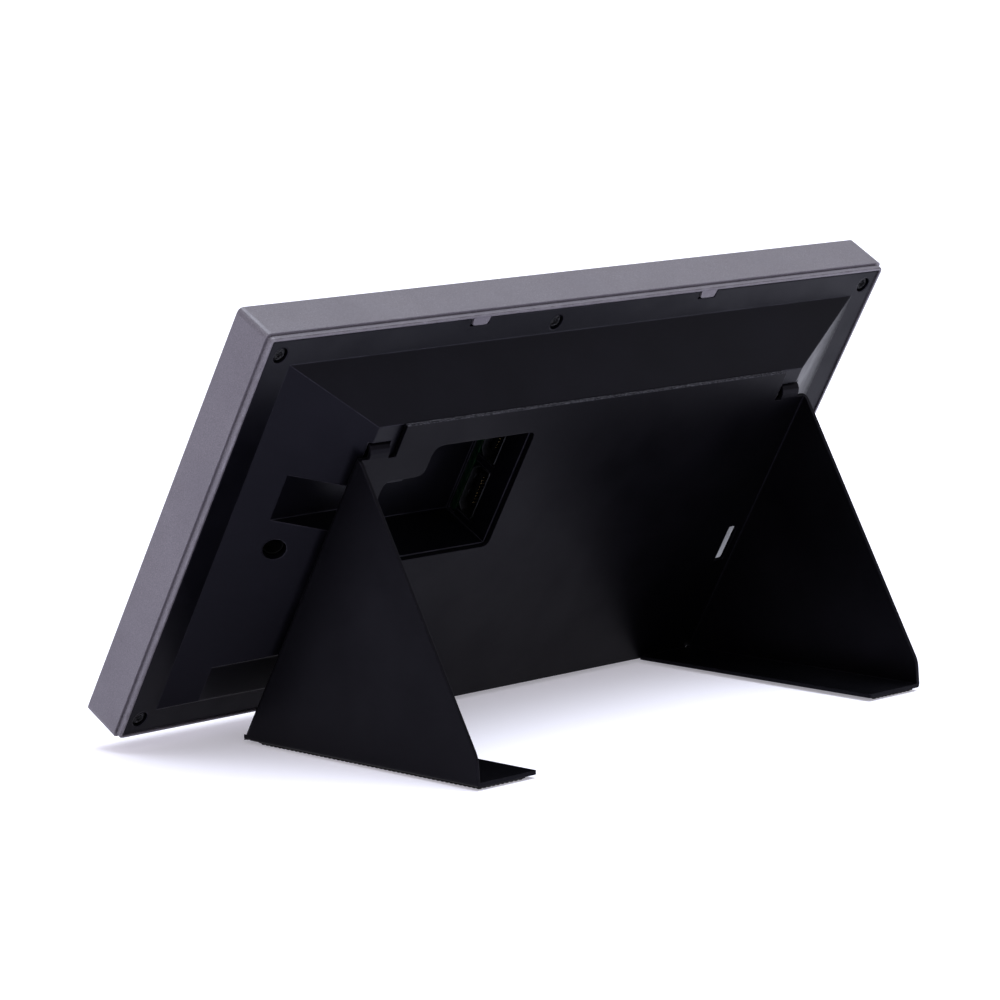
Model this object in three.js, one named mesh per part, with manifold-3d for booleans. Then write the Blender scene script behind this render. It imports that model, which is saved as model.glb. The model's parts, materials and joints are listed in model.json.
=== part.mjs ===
// A digital photo frame on a folded sheet-metal stand, in millimetres, +Z up, screen facing -Y.
//
// Two groups make the object. `display` holds everything that lifts off: the coloured outer frame,
// the glass and panel, the electronics and the black rear cover. It is modelled upright, with its
// screen in the plane y = 0 and its bottom edge at z = 0, and the whole group leans back by LEAN.
// `stand` holds the bracket and its foot pads, which stand on z = 0.

import * as THREE from 'three';
import { mergeVertices } from 'three/addons/utils/BufferGeometryUtils.js';
import Module from 'manifold-3d';

// ---------------------------------------------------------------- driving dimensions

const LEAN = THREE.MathUtils.degToRad(30);   // how far the screen leans back from upright
const GAP = 0.3;                             // clearance between pieces that touch or pass

const WIDTH = 220;                           // outer frame, side to side
const HEIGHT = 118.9;                        // outer frame, bottom to top
const BAND_DEPTH = 11.1;                     // full-size part of the outer frame, front to back
const GROOVE = 0.4;                          // groove between that part and the rear lip
const FRAME_DEPTH = 12.8;                    // outer frame with its rear lip
const WALL = 1.3;                            // outer frame wall
const CORNER_RADIUS = 1.5;
const BEZEL = 3;                             // front lip that holds the glass
const BEZEL_DEPTH = 1.5;

const RIM_BACK = 12.5;                       // rear face of the cover's flat rim
const RIM_GAP = 0.4;                         // gap between the cover and the outer frame
const RIM_THICK = 2;
const PLATEAU_BACK = 25.2;                   // rear face of the cover's raised middle
const SHELL = 1.8;                           // cover wall
const LEDGE_BACK = 17;                       // step under the raised middle, and cable channel floor

const SHEET = 1;                             // stand sheet thickness
const BEND = 0.9;                            // outer radius of its bends
const STAND_WIDTH = 161.6;
const PLATE_FRONT = PLATEAU_BACK + GAP;      // the stand's plate lies against the raised middle
const PLATE_BACK = PLATE_FRONT + SHEET;
const PAD_THICK = 0.9;
const FOOT_FRONT = 24.9;                     // the feet, behind the frame's front edge
const FOOT_BACK = 106.4;
const FOOT_WIDTH = 19.9;
const FOOT_DROP = 7.75;                      // top of the feet, below the frame's front edge
const PAD_FRONT = 28.3;
const PAD_EDGES = [64, 79];                  // the pads, from the middle of the stand

// The display's bottom front edge, in the stand's frame.
const DISPLAY_Y = -FOOT_BACK / 2;
const DISPLAY_Z = PAD_THICK + SHEET + FOOT_DROP;

// ---------------------------------------------------------------- materials

const material = (color, roughness, metalness = 0) =>
  new THREE.MeshStandardMaterial({ color, roughness, metalness });

const MAUVE_METAL = material(0x77717c, 0.45, 0.6);
const BLACK_PLASTIC = material(0x101014, 0.5);
const BLACK_STEEL = material(0x0c0c0f, 0.55, 0.3);
const BARE_STEEL = material(0xa8abb0, 0.35, 1);
const BLACK_SCREW = material(0x141416, 0.35, 0.8);
const RUBBER = material(0x0b0b0b, 0.9);
const GLASS = material(0x050608, 0.05);
const PANEL = material(0x1b1e24, 0.3);
const CLEAR_PLASTIC = material(0xdfe6ea, 0.2);
const BOARD_GREEN = material(0x0f5a2c, 0.5);
const CHIP_BLACK = material(0x18181a, 0.6);
const FLEX_AMBER = material(0xb06a1c, 0.4);
const WIRE_BLACK = material(0x111111, 0.6);

// ---------------------------------------------------------------- solids and booleans

const wasm = await Module();
wasm.setup();

function toSolid(geometry) {
  const bare = geometry.clone();
  bare.deleteAttribute('normal');
  bare.deleteAttribute('uv');
  const merged = mergeVertices(bare, 1e-4);
  return new wasm.Manifold(new wasm.Mesh({
    numProp: 3,
    vertProperties: new Float32Array(merged.attributes.position.array),
    triVerts: new Uint32Array(merged.index.array),
  }));
}

function toGeometry(solid) {
  const mesh = solid.getMesh();
  const geometry = new THREE.BufferGeometry();
  geometry.setAttribute('position', new THREE.BufferAttribute(new Float32Array(mesh.vertProperties), 3));
  geometry.setIndex(new THREE.BufferAttribute(new Uint32Array(mesh.triVerts), 1));
  geometry.computeVertexNormals();
  return geometry;
}

const join = (...geometries) => toGeometry(geometries.map(toSolid).reduce((a, b) => a.add(b)));
const cut = (body, ...tools) =>
  toGeometry(tools.map(toSolid).reduce((rest, tool) => rest.subtract(tool), toSolid(body)));
const overlap = (a, b) => toGeometry(toSolid(a).intersect(toSolid(b)));

// A box between two values on each axis.
function block([x0, x1], [y0, y1], [z0, z1]) {
  const geometry = new THREE.BoxGeometry(x1 - x0, y1 - y0, z1 - z0);
  return geometry.translate((x0 + x1) / 2, (y0 + y1) / 2, (z0 + z1) / 2);
}

function polygon(points) {
  return new THREE.Shape(points.map(([a, b]) => new THREE.Vector2(a, b)));
}

// A closed outline whose corners are rounded: each point is [a, b, radius].
function roundedPolygon(points) {
  const shape = new THREE.Shape();
  const at = (i) => new THREE.Vector2(...points[(i + points.length) % points.length].slice(0, 2));
  points.forEach(([, , radius = 0], i) => {
    const corner = at(i);
    const before = at(i - 1).sub(corner).setLength(radius).add(corner);
    const after = at(i + 1).sub(corner).setLength(radius).add(corner);
    if (i === 0) shape.moveTo(before.x, before.y);
    else shape.lineTo(before.x, before.y);
    if (radius > 0) shape.quadraticCurveTo(corner.x, corner.y, after.x, after.y);
  });
  shape.closePath();
  return shape;
}

function roundedRectangle([x0, x1], [z0, z1], radius) {
  return roundedPolygon([[x0, z0, radius], [x1, z0, radius], [x1, z1, radius], [x0, z1, radius]]);
}

const extrude = (shape, depth, curveSegments = 3) =>
  new THREE.ExtrudeGeometry(shape, { depth, bevelEnabled: false, curveSegments });

// An outline in x and z, given thickness from y0 to y1.
const slab = (shape, y0, y1, segments) =>
  extrude(shape, y1 - y0, segments).rotateX(Math.PI / 2).translate(0, y1, 0);

// An outline in y and z, given thickness from x0 to x1.
function profile(shape, x0, x1, segments) {
  const axes = new THREE.Matrix4().makeBasis(
    new THREE.Vector3(0, 1, 0), new THREE.Vector3(0, 0, 1), new THREE.Vector3(1, 0, 0));
  return extrude(shape, x1 - x0, segments).applyMatrix4(axes).translate(x0, 0, 0);
}

// A round bar along y.
const barY = (x, z, radius, y0, y1, sides = 12) =>
  new THREE.CylinderGeometry(radius, radius, y1 - y0, sides).translate(x, (y0 + y1) / 2, z);

// A frustum between two rectangles, the lower at y0 and the upper at y1.
function frustum(lower, y0, upper, y1) {
  const geometry = new THREE.BoxGeometry(2, 2, 2);
  const position = geometry.attributes.position;
  for (let i = 0; i < position.count; i += 1) {
    const back = position.getY(i) > 0;
    const [xs, zs] = back ? upper : lower;
    const x = xs[position.getX(i) > 0 ? 1 : 0];
    const z = zs[position.getZ(i) > 0 ? 1 : 0];
    position.setXYZ(i, x, back ? y1 : y0, z);
  }
  return geometry;
}

// Display coordinates to stand coordinates.
const leaning = new THREE.Matrix4()
  .makeRotationX(-LEAN)
  .setPosition(0, DISPLAY_Y, DISPLAY_Z);

// ---------------------------------------------------------------- shared places

const HALF = WIDTH / 2;
const inset = (d) => [[-HALF + d, HALF - d], [d, HEIGHT - d]];
const insetOutline = (d, radius) => roundedRectangle(...inset(d), radius);

// Where the cover is screwed down: four corners, and one on the top and bottom rims.
const COVER_SCREWS = {
  cover_screw_top_left: [104.4, 113.1],
  cover_screw_top_middle: [12.6, 113.1],
  cover_screw_top_right: [-104.4, 113.1],
  cover_screw_bottom_left: [104.4, 5.6],
  cover_screw_bottom_middle: [12.6, 5.6],
  cover_screw_bottom_right: [-104.4, 5.6],
};
const COUNTERBORE_RADIUS = 2.2;
const COUNTERBORE_FLOOR = 11.2;               // front of each counterbore

// Small tabs of the rear lip that reach over the cover.
const LIP_TABS = [40.5, -41.3];
const LIP_TAB_HALF_WIDTH = 2.5;
const LIP_TAB_REACH = 2.3;
const LIP_TAB_THICK = 0.7;

// Raised middle of the cover.
const BULGE_FOOT = { x: [-101.6, 100.2], z: [7.8, 110] };
const BULGE_TOP = { x: [-75.8, 76.6], z: [20.8, 98.1] };
const LEDGE_TOP = 22.6;                      // the ledge ends here and a 45 degree slope begins

// The sunk pocket in front of the connectors, and the cable channel that leaves it.
const POCKET = { x: [21.9, 61.1], z: [56.2, 92], floor: 10.1 };
const POCKET_WALL = 1.2;
const CHANNEL_Z = [67.3, 80.5];

// The stand's plate, and the hooks at both ends of it.
const PLATE_LOW = 5.6;
const PLATE_HIGH = 98.4;
const NOTCH_X = 68.4;                        // the plate's upper part ends here, beside a relief notch
const NOTCH_LOW = 89.4;
const SHOULDER = 89.8;
const HOOK = { x: [70.9, 77.2], lip: [19.4, 20.4], lipTop: 96.4 };
const HOOK_BEND = 3.5;                       // outer radius of the hook's bend
const HOOK_SLOT = { x: [70.5, 77.6], z: [87.3, SHOULDER + HOOK_BEND + GAP] };

// Openings in the plate: a stepped one over the pocket, and a narrow slot near each side.
const PORT_OPENING = { x: [21.3, 55.8, 68.8], z: [55.8, 82.1, 90.9] };
const SIDE_SLOT = { x: [73.6, 77.3], z: [36.4, 47.7] };
const RELIEF_RADIUS = 0.9;                   // small holes where the plate's bends meet its lower edge

// Power jack, square to the sloping side of the cover.
const FACET_TURN = Math.atan2(PLATEAU_BACK - RIM_BACK, BULGE_FOOT.x[1] - BULGE_TOP.x[1]);
const JACK = {
  x: 88.4, y: 18.8, z: 59.4,
  holeRadius: 2.95, noseRadius: 2.65, boreRadius: 2.25, pinRadius: 0.8,
  noseFace: -1.8, pinTip: -3.4,              // behind the cover's face
  bodyHalf: 3.7, bodyFront: -2.5, bodyBack: -8.4,
};

// Circuit board.
const BOARD = { x: [-52, POCKET.x[0] - POCKET_WALL - 0.4], z: [48, 97], y: [11.2, 12.8] };
const BOARD_TONGUE = { x: POCKET.x[0] - 0.1, z: [57.3, 90.9] };   // it reaches through the pocket's wall
const BOARD_HOLES = {
  board_screw_lower_left: [18, 51.5],
  board_screw_lower_right: [-48, 51.5],
  board_screw_upper_left: [18, 93.5],
  board_screw_upper_right: [-48, 93.5],
};
const PORT = { depth: 11.5, height: 5.8, width: 14.2, wall: 0.6 };
const PORT_Y = BOARD.y[1] + GAP;
const PORT_MOUTH = POCKET.x[0];
const PORT_Z = { hdmi_port_lower: 58.5, hdmi_port_upper: 75.2 };

// Glass, panel and backlight, front to back.
const GLASS_Y = [BEZEL_DEPTH + GAP, BEZEL_DEPTH + GAP + 1.5];
const INNER_FRAME_Y = [3.6, 10];
const INNER_OPENING = [[-91.5, 91.5], [8, 110.9]];
const VIEW = [[-86, 86], [10.95, 107.95]];   // visible picture area
const PANEL_Y = [4.4, 5.8];
const GUIDE_Y = [6.1, 7.1];
const TRAY_Y = [4.4, 8];
const TRAY_FLOOR = 7.4;
const PANEL_AREA = [[-90, 90], [9.45, 109.45]];
const CHASSIS_Y = [8.2, 8.7];
const FLEX_X = [-30, -8];

// ---------------------------------------------------------------- display pieces

function outerFrame() {
  const band = slab(insetOutline(0, CORNER_RADIUS), 0, BAND_DEPTH);
  const neck = slab(insetOutline(0.9, 0.8), BAND_DEPTH - 1, FRAME_DEPTH - 0.5);
  const lip = slab(insetOutline(0.6, 1.2), BAND_DEPTH + GROOVE, FRAME_DEPTH - 0.25);
  const lipEdge = slab(insetOutline(0.75, 1.1), FRAME_DEPTH - 0.5, FRAME_DEPTH);
  const inside = slab(insetOutline(WALL, 0.5), BEZEL_DEPTH, FRAME_DEPTH + 1);
  const window = slab(insetOutline(BEZEL, 1), -1, BEZEL_DEPTH + 1);
  const shell = cut(join(band, neck, lip, lipEdge), inside, window);

  const tabs = LIP_TABS.flatMap((x) => [[HEIGHT - WALL + 0.3, -1], [WALL - 0.3, 1]].map(([root, inward]) => {
    const tip = root + inward * (LIP_TAB_REACH + 0.3);
    const flare = LIP_TAB_HALF_WIDTH + 0.4;
    const outline = roundedPolygon([
      [x - flare, root], [x + flare, root],
      [x + LIP_TAB_HALF_WIDTH, tip, 0.7], [x - LIP_TAB_HALF_WIDTH, tip, 0.7]]);
    return slab(outline, FRAME_DEPTH - 0.1 - LIP_TAB_THICK, FRAME_DEPTH - 0.1);
  }));
  return join(shell, ...tabs);
}

function frontGlass() {
  return slab(insetOutline(WALL + 0.4, 1), ...GLASS_Y);
}

function panelGasket() {
  const outer = block([-90.8, 90.8], [INNER_FRAME_Y[0], 4.1], [8.8, 110.1]);
  const inner = block(VIEW[0], [3, 5], VIEW[1]);
  return cut(outer, inner);
}

function innerFrame() {
  const outer = slab(insetOutline(WALL + 0.5, 0.6), ...INNER_FRAME_Y);
  const opening = block(INNER_OPENING[0], [3, 11], INNER_OPENING[1]);
  const pilots = Object.values(COVER_SCREWS).map(([x, z]) => barY(x, z, 1.5, 3, 11, 8));
  const flexGap = block([FLEX_X[0] - 1, FLEX_X[1] + 1], [3, 11], [4.6, 9]);
  return cut(outer, opening, flexGap, ...pilots);
}

function backlightTray() {
  const outer = block([-91.2, 91.2], TRAY_Y, [8.3, 110.6]);
  const inner = block([-90.4, 90.4], [3, TRAY_FLOOR], [9.1, 109.8]);
  const flexGap = block([FLEX_X[0] - 1, FLEX_X[1] + 1], [3, 9], [8, 9.3]);
  return cut(outer, inner, flexGap);
}

// A flat flex from the panel's lower edge, round the tray and up to the board.
function flexCable() {
  const t = 0.3;
  const low = 7;
  const back = 9.3;
  const outline = polygon([
    [4.9, 9.1], [4.9, low], [back + t, low], [back + t, 44], [13.2, 47.4], [13.2, 56],
    [13.2 + t, 56], [13.2 + t, 47.2], [back + 2 * t, 43.6], [back + 2 * t, low - t],
    [4.9 - t, low - t], [4.9 - t, 9.1]]);
  return profile(outline, ...FLEX_X);
}

function chassisPlate() {
  const plate = block([-86, 86], CHASSIS_Y, [12, 107]);
  const posts = Object.values(BOARD_HOLES).map(([x, z]) => barY(x, z, 2.6, CHASSIS_Y[0], BOARD.y[0] - GAP));
  const holes = Object.values(BOARD_HOLES).map(([x, z]) => barY(x, z, 1.3, 8, 12, 8));
  return cut(join(plate, ...posts), ...holes);
}

function mainBoard() {
  const { x: [x0, x1], z: [z0, z1] } = BOARD;
  const { x: tip, z: [low, high] } = BOARD_TONGUE;
  const outline = polygon([
    [x0, z0], [x1, z0], [x1, low], [tip, low], [tip, high], [x1, high], [x1, z1], [x0, z1]]);
  const holes = Object.values(BOARD_HOLES).map(([x, z]) => barY(x, z, 1.6, 11, 13, 10));
  return cut(slab(outline, ...BOARD.y), ...holes);
}

// A metal receptacle with a keyed mouth and a flat tongue.
function port(z0) {
  const back = PORT_MOUTH - PORT.depth;
  const top = PORT_Y + PORT.height;
  const key = 1.6;
  const shellOutline = polygon([
    [PORT_Y, z0 + key], [PORT_Y + key, z0], [top, z0], [top, z0 + PORT.width],
    [PORT_Y + key, z0 + PORT.width], [PORT_Y, z0 + PORT.width - key]]);
  const w = PORT.wall;
  const mouthOutline = polygon([
    [PORT_Y + w, z0 + key + w / 2], [PORT_Y + key + w / 2, z0 + w], [top - w, z0 + w],
    [top - w, z0 + PORT.width - w], [PORT_Y + key + w / 2, z0 + PORT.width - w],
    [PORT_Y + w, z0 + PORT.width - key - w / 2]]);
  const shell = profile(shellOutline, back, PORT_MOUTH);
  const mouth = profile(mouthOutline, back + 3, PORT_MOUTH + 1);
  const tongue = block(
    [back + 1, PORT_MOUTH - 1], [PORT_Y + 1.9, PORT_Y + 3.1], [z0 + 2.2, z0 + PORT.width - 2.2]);
  return join(cut(shell, mouth), tongue);
}

function mainChip() {
  return block([-28, -12], [BOARD.y[1] + GAP, BOARD.y[1] + 2], [66, 82]);
}

function flexSocket() {
  const body = block([FLEX_X[0] - 2, FLEX_X[1] + 2], [BOARD.y[1] + 0.1, 15], [50.5, 56.5]);
  const mouth = block([FLEX_X[0] - 0.5, FLEX_X[1] + 0.5], [BOARD.y[1] + 0.2, 13.9], [50, 56.2]);
  return cut(body, mouth);
}

// The jack and its hole are modelled along y at the origin, then turned square to the cover's side.
const squareToFacet = (geometry) => geometry.rotateZ(-FACET_TURN).translate(JACK.x, JACK.y, JACK.z);

function powerJack() {
  const half = [-JACK.bodyHalf, JACK.bodyHalf];
  const body = block(half, [JACK.bodyBack, JACK.bodyFront], half);
  const nose = barY(0, 0, JACK.noseRadius, JACK.bodyFront - 0.5, JACK.noseFace, 16);
  const bore = barY(0, 0, JACK.boreRadius, JACK.bodyBack + 1, 1, 16);
  const pin = barY(0, 0, JACK.pinRadius, JACK.bodyBack + 0.5, JACK.pinTip, 8);
  return squareToFacet(join(cut(join(body, nose), bore), pin));
}

// A two-core lead from the jack, along the foot of the pocket, to the board.
function powerLead() {
  const route = new THREE.CatmullRomCurve3([
    [84, 14.5, 54.4], [80, 14, 52.2], [74, 13, 49.6], [64, 12.8, 48.6], [50, 12.8, 48.6],
    [38, 13.2, 48.8], [30, 14.6, 49.6], [24, 16, 50.6], [17, 16.4, 51.8], [11.6, 16, 52.6],
  ].map((p) => new THREE.Vector3(...p)));
  const section = new THREE.Shape().absarc(0, 0, 0.9, 0, Math.PI * 2);
  return new THREE.ExtrudeGeometry(section, {
    extrudePath: route, steps: 24, curveSegments: 4, bevelEnabled: false });
}

function powerSocket() {
  return block([4.5, 11], [BOARD.y[1] + GAP, 17.5], [49.5, 56]);
}

function rearCover() {
  const rim = slab(insetOutline(WALL + RIM_GAP, 0.5), RIM_BACK - RIM_THICK, RIM_BACK);
  const bulgeFull = frustum([BULGE_FOOT.x, BULGE_FOOT.z], RIM_BACK, [BULGE_TOP.x, BULGE_TOP.z], PLATEAU_BACK);
  const slope = PLATEAU_BACK - LEDGE_BACK;
  const step = profile(polygon([
    [LEDGE_BACK, -20], [LEDGE_BACK, LEDGE_TOP], [LEDGE_BACK + slope + 1, LEDGE_TOP + slope + 1],
    [LEDGE_BACK + slope + 1, -20]]), -HALF, HALF);
  const bulge = cut(bulgeFull, step);

  // The hollow follows the outside, one wall thickness in.
  const t = SHELL;
  const inward = ({ x, z: [low, high] }) => [x.map((side) => side - Math.sign(side) * t), [low + t, high - t]];
  const hollowFoot = inward(BULGE_FOOT);
  const hollowTop = inward(BULGE_TOP);
  const hollowFull = join(
    frustum(hollowFoot, RIM_BACK - t / 2, hollowTop, PLATEAU_BACK - t),
    block(hollowFoot[0], [RIM_BACK - RIM_THICK - 1, RIM_BACK - t / 2 + 0.01], hollowFoot[1]));
  const hollow = cut(hollowFull, step.clone().translate(0, -t, t * 0.41));

  const pocketBlock = block(
    [POCKET.x[0] - POCKET_WALL, POCKET.x[1] + POCKET_WALL],
    [POCKET.floor - POCKET_WALL, PLATEAU_BACK],
    [POCKET.z[0] - POCKET_WALL, POCKET.z[1] + POCKET_WALL]);
  const channelBlock = overlap(bulge, block(
    [POCKET.x[1], BULGE_FOOT.x[1]], [LEDGE_BACK - POCKET_WALL, PLATEAU_BACK + 1],
    [CHANNEL_Z[0] - POCKET_WALL, CHANNEL_Z[1] + POCKET_WALL]));
  const pocket = block(POCKET.x, [POCKET.floor, PLATEAU_BACK + 1], POCKET.z);
  const channel = block([POCKET.x[1] - 1, BULGE_FOOT.x[1] + 1], [LEDGE_BACK, PLATEAU_BACK + 1], CHANNEL_Z);

  // Windows for the two connectors in the pocket's wall, and the gap for the board's edge.
  const windows = Object.values(PORT_Z).map((z) => block(
    [POCKET.x[0] - POCKET_WALL - 1, POCKET.x[0] + 0.5], [PORT_Y - GAP, PORT_Y + PORT.height + GAP],
    [z - GAP, z + PORT.width + GAP]));
  const boardGap = block(
    [POCKET.x[0] - POCKET_WALL - 1, POCKET.x[0] + 0.5], [BOARD.y[0] - 0.4, BOARD.y[1] + 0.2],
    [POCKET.z[0] + 0.6, POCKET.z[1] - 0.6]);

  const hookSlots = [1, -1].map((side) => {
    const xs = HOOK_SLOT.x.map((x) => x * side).sort((a, b) => a - b);
    return block(xs, [RIM_BACK, PLATEAU_BACK + 1], HOOK_SLOT.z);
  });
  const jackHole = squareToFacet(barY(0, 0, JACK.holeRadius, -3.2, 3, 20));
  const screwHoles = Object.values(COVER_SCREWS).flatMap(([x, z]) => [
    barY(x, z, COUNTERBORE_RADIUS, COUNTERBORE_FLOOR, RIM_BACK + 1, 16), barY(x, z, 1.6, 9, RIM_BACK, 10)]);
  const lipNotches = LIP_TABS.flatMap((x) => [[HEIGHT - 8, HEIGHT], [0, 8]].map(([z0, z1]) => {
    const reach = WALL + LIP_TAB_REACH + GAP;
    const zs = z0 > 0 ? [HEIGHT - reach, z1] : [z0, reach];
    const notch = LIP_TAB_HALF_WIDTH + 0.4 + GAP;
    return block([x - notch, x + notch], [FRAME_DEPTH - 0.1 - LIP_TAB_THICK - GAP, FRAME_DEPTH + 1], zs);
  }));

  const shell = cut(join(rim, bulge), hollow);
  return cut(join(shell, pocketBlock, channelBlock), pocket, channel, jackHole, boardGap,
    ...windows, ...hookSlots, ...screwHoles, ...lipNotches);
}

// A pan-head screw, its head towards +y, with a shallow cross recess.
function screw(x, z, headFront, headRadius, headHeight, shankRadius, shankEnd) {
  const head = new THREE.LatheGeometry([
    [0, 0], [headRadius, 0], [headRadius, headHeight * 0.55],
    [headRadius * 0.78, headHeight], [0, headHeight],
  ].map(([r, h]) => new THREE.Vector2(r, h)), 14).translate(x, headFront, z);
  const shank = barY(x, z, shankRadius, shankEnd, headFront + 0.1, 10);
  const arm = headRadius * 0.55;
  const half = headRadius * 0.13;
  const top = [headFront + headHeight * 0.5, headFront + headHeight + 1];
  const cross = [
    block([x - arm, x + arm], top, [z - half, z + half]),
    block([x - half, x + half], top, [z - arm, z + arm])];
  return cut(join(head, shank), ...cross);
}

const coverScrew = ([x, z]) => screw(x, z, COUNTERBORE_FLOOR + 0.1, 1.75, 0.8, 1.2, 4.6);
const boardScrew = ([x, z]) => screw(x, z, BOARD.y[1] + 0.1, 2.3, 1.2, 1, 9.2);

// ---------------------------------------------------------------- stand pieces

const sideOf = (side, [a, b]) => [side * a, side * b].sort((p, q) => p - q);

// The bracket is one folded sheet: plate, two legs and two inward feet.
function standBracket() {
  const half = STAND_WIDTH / 2;
  const rearmost = 130;

  // A channel with rounded bends, cut from the section of plate and legs seen from above.
  const channelSection = roundedPolygon([
    [-half, rearmost], [-half, PLATE_FRONT, BEND], [half, PLATE_FRONT, BEND], [half, rearmost],
    [half - SHEET, rearmost], [half - SHEET, PLATE_BACK, BEND / 2],
    [-half + SHEET, PLATE_BACK, BEND / 2], [-half + SHEET, rearmost]]);
  const channel = extrude(channelSection, 140).translate(0, 0, -20).applyMatrix4(leaning);

  // The plate, as a flat outline with stepped top corners.
  const plateHalf = half - 3;
  const plateOutline = roundedPolygon([
    [-plateHalf, PLATE_LOW], [plateHalf, PLATE_LOW], [plateHalf, SHOULDER], [HOOK.x[0], SHOULDER],
    [HOOK.x[0], NOTCH_LOW], [NOTCH_X, NOTCH_LOW], [NOTCH_X, PLATE_HIGH, 0.6],
    [-NOTCH_X, PLATE_HIGH, 0.6], [-NOTCH_X, NOTCH_LOW], [-HOOK.x[0], NOTCH_LOW],
    [-HOOK.x[0], SHOULDER], [-plateHalf, SHOULDER]]);
  const plateZone = slab(plateOutline, PLATE_FRONT - 1, PLATE_BACK + 0.2).applyMatrix4(leaning);

  // One leg, seen from the side, in the stand's own frame.
  const back = DISPLAY_Y + FOOT_BACK;
  const footZ = PAD_THICK;
  const at = (y, z) => new THREE.Vector3(0, y, z).applyMatrix4(leaning);
  const frontLow = at(PLATE_FRONT, (PLATE_FRONT * Math.sin(LEAN) - FOOT_DROP - SHEET) / Math.cos(LEAN));
  const shoulderFront = at(PLATE_FRONT - 0.5, SHOULDER);
  const apex = at(PLATE_BACK + 0.7, SHOULDER);
  const bendTop = BEND + 0.1;
  const footFront = DISPLAY_Y + FOOT_FRONT;
  const legOutline = roundedPolygon([
    [shoulderFront.y, shoulderFront.z], [frontLow.y - 0.4, frontLow.z, 0.8], [footFront, footZ],
    [footFront, footZ + bendTop], [back, footZ + bendTop], [back - 0.4, footZ + 6.9, 1.5],
    [apex.y, apex.z, 0.8]]);
  const legZones = [1, -1].map((side) => profile(legOutline, ...sideOf(side, [half - 3, half + 1])));

  // Feet: an angle section with a rounded bend, with rounded free corners.
  const footInner = half - FOOT_WIDTH;
  const footTop = BEND + 0.6;
  const feet = [1, -1].map((side) => {
    const section = roundedPolygon([
      [side * footInner, footZ], [side * half, footZ, BEND], [side * half, footZ + footTop],
      [side * (half - SHEET), footZ + footTop], [side * (half - SHEET), footZ + SHEET, BEND / 4],
      [side * footInner, footZ + SHEET]]);
    const angle = extrude(section, back - footFront).rotateX(Math.PI / 2).translate(0, back, 0);
    const plan = roundedPolygon([
      [side * footInner, footFront, 2], [side * (half + 1), footFront], [side * (half + 1), back],
      [side * footInner, back, 0.6]]);
    const planZone = extrude(plan, 30).translate(0, 0, -5);
    return overlap(angle, planZone);
  });

  // Hooks: each leaves the plate, bends forward through its slot and turns up behind the cover.
  const bendZ = SHOULDER + HOOK_BEND;
  const hookOutline = roundedPolygon([
    [PLATE_BACK, SHOULDER - 3], [PLATE_BACK, bendZ, HOOK_BEND], [HOOK.lip[1], bendZ],
    [HOOK.lip[1], HOOK.lipTop, 0.5], [HOOK.lip[0], HOOK.lipTop, 0.5], [HOOK.lip[0], bendZ - SHEET, 1],
    [PLATE_FRONT, bendZ - SHEET, 1.5], [PLATE_FRONT, SHOULDER - 3]]);
  const hooks = [1, -1].map((side) =>
    profile(hookOutline, ...sideOf(side, HOOK.x), 5).applyMatrix4(leaning));

  // Openings in the plate.
  const through = [PLATE_FRONT - 1, PLATE_BACK + 1];
  const { x: [right, step, left], z: [low, stepTop, top] } = PORT_OPENING;
  const portOpening = slab(roundedPolygon([
    [right, low, 2], [left, low, 2], [left, stepTop, 2.6], [step, stepTop, 2.6],
    [step, top, 3], [right, top, 2]]),
  ...through).applyMatrix4(leaning);
  const slots = [1, -1].map((side) => slab(
    roundedRectangle(sideOf(side, SIDE_SLOT.x), SIDE_SLOT.z, 0.8), ...through).applyMatrix4(leaning));
  const reliefs = [1, -1].map((side) =>
    barY(side * (half - 1), PLATE_LOW + 0.5, RELIEF_RADIUS, ...through).applyMatrix4(leaning));

  const plate = overlap(channel, join(plateZone, ...legZones));
  return cut(join(plate, ...feet, ...hooks), portOpening, ...slots, ...reliefs);
}

function footPad(side) {
  const ys = [DISPLAY_Y + PAD_FRONT, DISPLAY_Y + FOOT_BACK - 0.8];
  return block(sideOf(side, PAD_EDGES), ys, [0, PAD_THICK - 0.02]);
}

// ---------------------------------------------------------------- assembly

const display = new THREE.Group();
display.rotation.x = -LEAN;
display.position.set(0, DISPLAY_Y, DISPLAY_Z);

const stand = new THREE.Group();

function place(group, name, geometry, look) {
  const mesh = new THREE.Mesh(geometry, look);
  mesh.name = name;
  group.add(mesh);
}

place(display, 'outer_frame', outerFrame(), MAUVE_METAL);
place(display, 'front_glass', frontGlass(), GLASS);
place(display, 'panel_gasket', panelGasket(), RUBBER);
place(display, 'inner_frame', innerFrame(), BLACK_PLASTIC);
place(display, 'lcd_panel', block(PANEL_AREA[0], PANEL_Y, PANEL_AREA[1]), PANEL);
place(display, 'light_guide', block(PANEL_AREA[0], GUIDE_Y, [11, PANEL_AREA[1][1]]), CLEAR_PLASTIC);
place(display, 'led_strip', block([-85, 85], GUIDE_Y, [PANEL_AREA[1][0], 10.7]), CLEAR_PLASTIC);
place(display, 'backlight_tray', backlightTray(), BARE_STEEL);
place(display, 'flex_cable', flexCable(), FLEX_AMBER);
place(display, 'chassis_plate', chassisPlate(), BARE_STEEL);
place(display, 'main_board', mainBoard(), BOARD_GREEN);
place(display, 'main_chip', mainChip(), CHIP_BLACK);
place(display, 'flex_socket', flexSocket(), CHIP_BLACK);
for (const [name, z] of Object.entries(PORT_Z)) place(display, name, port(z), BARE_STEEL);
place(display, 'power_jack', powerJack(), CHIP_BLACK);
place(display, 'power_lead', powerLead(), WIRE_BLACK);
place(display, 'power_socket', powerSocket(), CLEAR_PLASTIC);
place(display, 'rear_cover', rearCover(), BLACK_PLASTIC);
for (const [name, at] of Object.entries(COVER_SCREWS)) place(display, name, coverScrew(at), BLACK_SCREW);
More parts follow.
